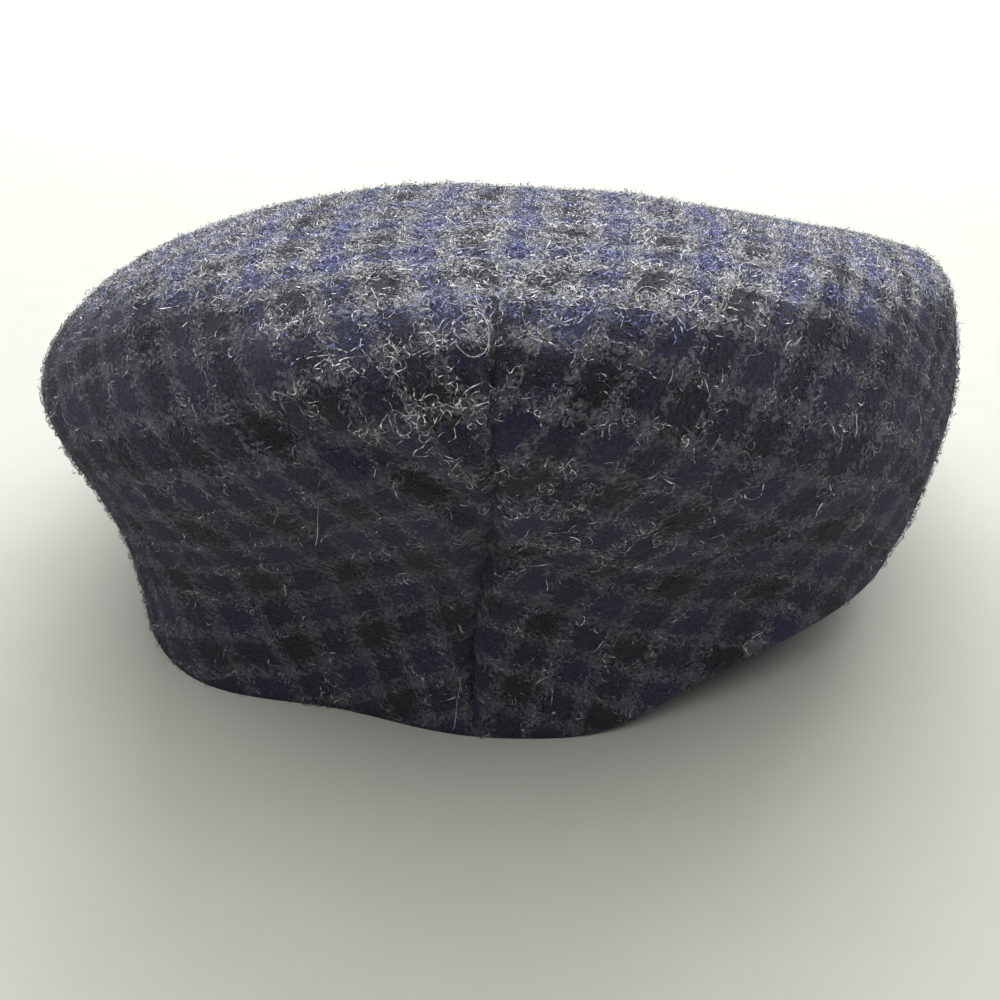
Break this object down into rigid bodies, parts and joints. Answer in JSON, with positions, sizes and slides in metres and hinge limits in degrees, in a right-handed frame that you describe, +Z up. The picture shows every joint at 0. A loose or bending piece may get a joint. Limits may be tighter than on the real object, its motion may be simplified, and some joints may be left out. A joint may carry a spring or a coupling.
{
  "type": "flat cap",
  "caption": "Soft wool flat cap in a blue, black and pale grey gun club check: one-piece crown with a centre-back seam, over a cloth-covered peak.",
  "frame": {"origin": "centre of the box round the cap, on the surface that it lies on", "axes": "+Y to the back of the cap and -Y to the peak, +X to the wearer's left, +Z up"},
  "size_m": [0.2027, 0.275, 0.0894],
  "materials": {
    "wool_check": "brushed wool twill, fuzzy"
  },
  "bodies": {
    "root": {"crown": "wool_check", "peak": "wool_check"}
  },
  "joints": []
}
